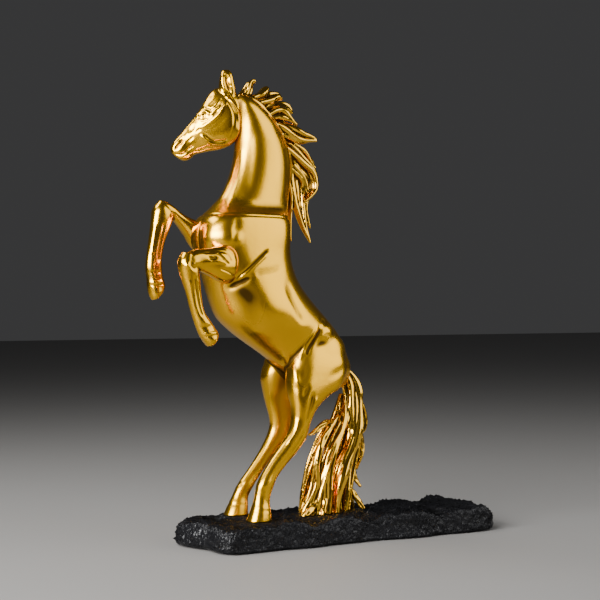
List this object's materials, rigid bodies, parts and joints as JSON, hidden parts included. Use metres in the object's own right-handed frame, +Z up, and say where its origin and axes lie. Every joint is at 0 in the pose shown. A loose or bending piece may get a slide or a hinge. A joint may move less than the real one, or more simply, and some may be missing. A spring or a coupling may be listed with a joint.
{
  "type": "rearing horse statuette",
  "caption": "Gilt statuette of a rearing horse standing on its hind hooves and tail on a black rough rock plinth, for a desk or mantel.",
  "frame": {"origin": "centre of the underside of the felt pad", "axes": "+Z up; the horse faces -X and its left side faces -Y"},
  "size_m": [0.306, 0.088, 0.3786],
  "materials": {
    "gilt": "gilt, satin to polished",
    "brass_rod": "drawn rod, plain",
    "steel": "zinc plated",
    "rock": "rough black with small glossy facets",
    "felt": "felt"
  },
  "bodies": {
    "root": {"trunk_casting": "gilt", "neck_casting": "gilt", "head_casting": "gilt", "left_foreleg_casting": "gilt", "right_foreleg_casting": "gilt", "mane_casting": "gilt", "tail_casting": "gilt", "left_foreleg_pin": "brass_rod", "right_foreleg_pin": "brass_rod", "head_pin": "brass_rod", "tail_pin": "brass_rod", "left_hoof_stud": "steel", "left_hoof_washer": "steel", "left_hoof_nut": "steel", "right_hoof_stud": "steel", "right_hoof_washer": "steel", "right_hoof_nut": "steel", "tail_stud": "steel", "tail_washer": "steel", "tail_nut": "steel", "rock_plinth": "rock", "felt_pad": "felt"}
  },
  "joints": []
}
